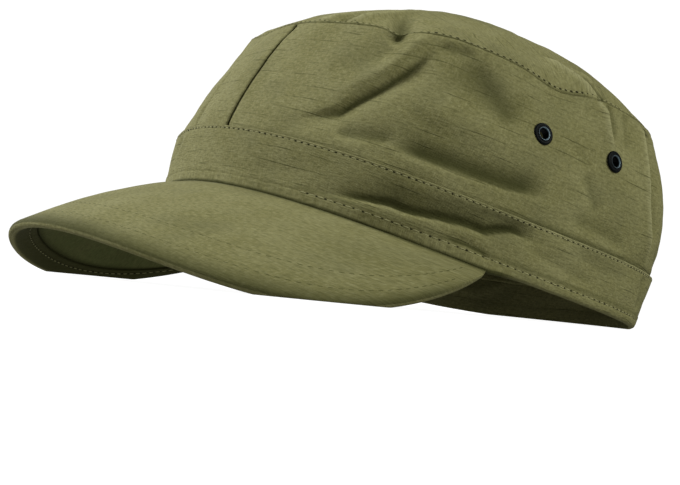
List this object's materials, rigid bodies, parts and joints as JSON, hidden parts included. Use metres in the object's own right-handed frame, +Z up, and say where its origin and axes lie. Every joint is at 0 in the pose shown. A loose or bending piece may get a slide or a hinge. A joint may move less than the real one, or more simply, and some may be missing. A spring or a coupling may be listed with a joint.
{
  "type": "fatigue cap",
  "caption": "Fatigue cap in plain ripstop cloth: soft crown with pressed front pleats and a domed top, headband with a rolled hem, stiff curved peak and dark metal vent eyelets.",
  "frame": {"origin": "middle of the bounding box, on the floor the cap rests on", "axes": "+Z up, -Y towards the front of the peak, +X towards the wearer's left"},
  "size_m": [0.201, 0.257, 0.1155],
  "materials": {
    "cloth": "matte olive ripstop cotton",
    "lining_cloth": "matte olive ripstop cotton, in shade under the peak",
    "eyelet_metal": "blackened, worn thin on the rim"
  },
  "bodies": {
    "root": {"crown_wall": "cloth", "front_panel": "cloth", "crown_top": "cloth", "band": "cloth", "peak_board": "cloth", "peak_lining": "lining_cloth", "eyelet_left_front": "eyelet_metal", "eyelet_left_rear": "eyelet_metal", "eyelet_right_front": "eyelet_metal", "eyelet_right_rear": "eyelet_metal"}
  },
  "joints": []
}
